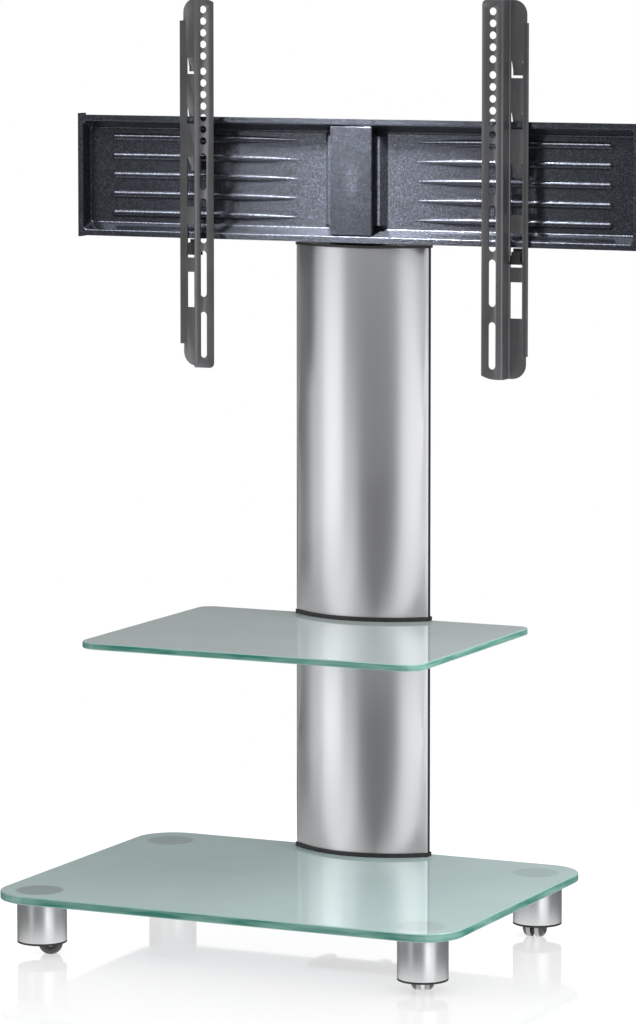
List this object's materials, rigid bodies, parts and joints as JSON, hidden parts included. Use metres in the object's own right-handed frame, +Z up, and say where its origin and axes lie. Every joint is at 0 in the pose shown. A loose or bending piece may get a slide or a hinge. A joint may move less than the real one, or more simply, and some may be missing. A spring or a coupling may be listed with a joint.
{
  "type": "television stand",
  "caption": "Floor stand for a flat screen: wide glass base on castors, smaller glass shelf, hollow column, ribbed steel mount and slotted hook-on arms.",
  "frame": {"origin": "on the floor under the centre of the base glass", "axes": "+X to the right as seen from the front, +Y to the back, +Z up"},
  "size_m": [0.758, 0.45, 1.1435],
  "materials": {
    "float_glass": "clear float glass with a polished green edge and a frosted underside",
    "anodised_aluminium": "satin anodised, drawn along its length",
    "black_rubber": "matt",
    "black_plastic": "fine matt texture",
    "black_powder_coat": "textured metallic powder coat with fine sparkle",
    "grey_coated_steel": "satin grey metallic coat",
    "dark_steel": "satin black coat",
    "zinc_plated_steel": "zinc plated",
    "wheel_nylon": "semi-gloss black nylon"
  },
  "bodies": {
    "stand": {"base_glass": "float_glass", "shelf_glass": "float_glass", "base_gasket": "black_rubber", "shelf_lower_gasket": "black_rubber", "shelf_upper_gasket": "black_rubber", "lower_column_shell": "anodised_aluminium", "upper_column_shell": "anodised_aluminium", "lower_cable_cover": "black_plastic", "upper_cable_cover": "black_plastic", "column_top_cap": "black_plastic", "cap_screws": "zinc_plated_steel", "clamp_pad": "black_rubber", "clamp_plate": "dark_steel", "clamp_bolts": "zinc_plated_steel", "post_foot": "dark_steel", "upright_post": "dark_steel", "post_collar": "dark_steel", "mount_head": "dark_steel", "mount_plate": "black_powder_coat", "left_end_plate": "black_powder_coat", "right_end_plate": "black_powder_coat", "centre_channel": "black_powder_coat", "mount_bolts": "zinc_plated_steel", "mount_nuts": "zinc_plated_steel", "front_left_foot_tube": "anodised_aluminium", "front_left_foot_ring": "black_plastic", "front_left_foot_disc": "zinc_plated_steel", "front_left_foot_insert": "black_plastic", "front_right_foot_tube": "anodised_aluminium", "front_right_foot_ring": "black_plastic", "front_right_foot_disc": "zinc_plated_steel", "front_right_foot_insert": "black_plastic", "rear_left_foot_tube": "anodised_aluminium", "rear_left_foot_ring": "black_plastic", "rear_left_foot_disc": "zinc_plated_steel", "rear_left_foot_insert": "black_plastic", "rear_right_foot_tube": "anodised_aluminium", "rear_right_foot_ring": "black_plastic", "rear_right_foot_disc": "zinc_plated_steel", "rear_right_foot_insert": "black_plastic"},
    "left_arm": {"left_arm": "grey_coated_steel"},
    "right_arm": {"right_arm": "grey_coated_steel"},
    "left_lock": {"left_lock_slider": "black_plastic"},
    "right_lock": {"right_lock_slider": "black_plastic"},
    "front_left_castor": {"front_left_castor_frame": "black_plastic", "front_left_axle": "zinc_plated_steel"},
    "front_left_wheel_a": {"front_left_wheel_a": "wheel_nylon"},
    "front_left_wheel_b": {"front_left_wheel_b": "wheel_nylon"},
    "front_right_castor": {"front_right_castor_frame": "black_plastic", "front_right_axle": "zinc_plated_steel"},
    "front_right_wheel_a": {"front_right_wheel_a": "wheel_nylon"},
    "front_right_wheel_b": {"front_right_wheel_b": "wheel_nylon"},
    "rear_left_castor": {"rear_left_castor_frame": "black_plastic", "rear_left_axle": "zinc_plated_steel"},
    "rear_left_wheel_a": {"rear_left_wheel_a": "wheel_nylon"},
    "rear_left_wheel_b": {"rear_left_wheel_b": "wheel_nylon"},
    "rear_right_castor": {"rear_right_castor_frame": "black_plastic", "rear_right_axle": "zinc_plated_steel"},
    "rear_right_wheel_a": {"rear_right_wheel_a": "wheel_nylon"},
    "rear_right_wheel_b": {"rear_right_wheel_b": "wheel_nylon"}
  },
  "joints": [
    {"name": "left_arm_slide", "type": "slide", "parent": "stand", "child": "left_arm", "axis": [1, 0, 0], "range_m": [-0.138, 0.132]},
    {"name": "left_lock_slide", "type": "slide", "parent": "left_arm", "child": "left_lock", "axis": [0, 0, 1], "range_m": [0, 0.007]},
    {"name": "right_arm_slide", "type": "slide", "parent": "stand", "child": "right_arm", "axis": [1, 0, 0], "range_m": [-0.138, 0.132]},
    {"name": "right_lock_slide", "type": "slide", "parent": "right_arm", "child": "right_lock", "axis": [0, 0, 1], "range_m": [0, 0.007]},
    {"name": "front_left_swivel", "type": "hinge", "parent": "stand", "child": "front_left_castor", "pos_m": [-0.25, -0.175, 0.036], "axis": [0, 0, 1], "continuous": true},
    {"name": "front_left_wheel_a_spin", "type": "hinge", "parent": "front_left_castor", "child": "front_left_wheel_a", "pos_m": [-0.24048, -0.17056, 0.015], "axis": [-0.4226, 0.9063, 0], "continuous": true},
    {"name": "front_left_wheel_b_spin", "type": "hinge", "parent": "front_left_castor", "child": "front_left_wheel_b", "pos_m": [-0.24048, -0.17056, 0.015], "axis": [-0.4226, 0.9063, 0], "continuous": true},
    {"name": "front_right_swivel", "type": "hinge", "parent": "stand", "child": "front_right_castor", "pos_m": [0.25, -0.175, 0.036], "axis": [0, 0, 1], "continuous": true},
    {"name": "front_right_wheel_a_spin", "type": "hinge", "parent": "front_right_castor", "child": "front_right_wheel_a", "pos_m": [0.24573, -0.16541, 0.015], "axis": [-0.9135, -0.4067, 0], "continuous": true},
    {"name": "front_right_wheel_b_spin", "type": "hinge", "parent": "front_right_castor", "child": "front_right_wheel_b", "pos_m": [0.24573, -0.16541, 0.015], "axis": [-0.9135, -0.4067, 0], "continuous": true},
    {"name": "rear_left_swivel", "type": "hinge", "parent": "stand", "child": "rear_left_castor", "pos_m": [-0.25, 0.175, 0.036], "axis": [0, 0, 1], "continuous": true},
    {"name": "rear_left_wheel_a_spin", "type": "hinge", "parent": "rear_left_castor", "child": "rear_left_wheel_a", "pos_m": [-0.25987, 0.17859, 0.015], "axis": [-0.342, -0.9397, 0], "continuous": true},
    {"name": "rear_left_wheel_b_spin", "type": "hinge", "parent": "rear_left_castor", "child": "rear_left_wheel_b", "pos_m": [-0.25987, 0.17859, 0.015], "axis": [-0.342, -0.9397, 0], "continuous": true},
    {"name": "rear_right_swivel", "type": "hinge", "parent": "stand", "child": "rear_right_castor", "pos_m": [0.25, 0.175, 0.036], "axis": [0, 0, 1], "continuous": true},
    {"name": "rear_right_wheel_a_spin", "type": "hinge", "parent": "rear_right_castor", "child": "rear_right_wheel_a", "pos_m": [0.25128, 0.16458, 0.015], "axis": [0.9925, 0.1219, 0], "continuous": true},
    {"name": "rear_right_wheel_b_spin", "type": "hinge", "parent": "rear_right_castor", "child": "rear_right_wheel_b", "pos_m": [0.25128, 0.16458, 0.015], "axis": [0.9925, 0.1219, 0], "continuous": true}
  ]
}
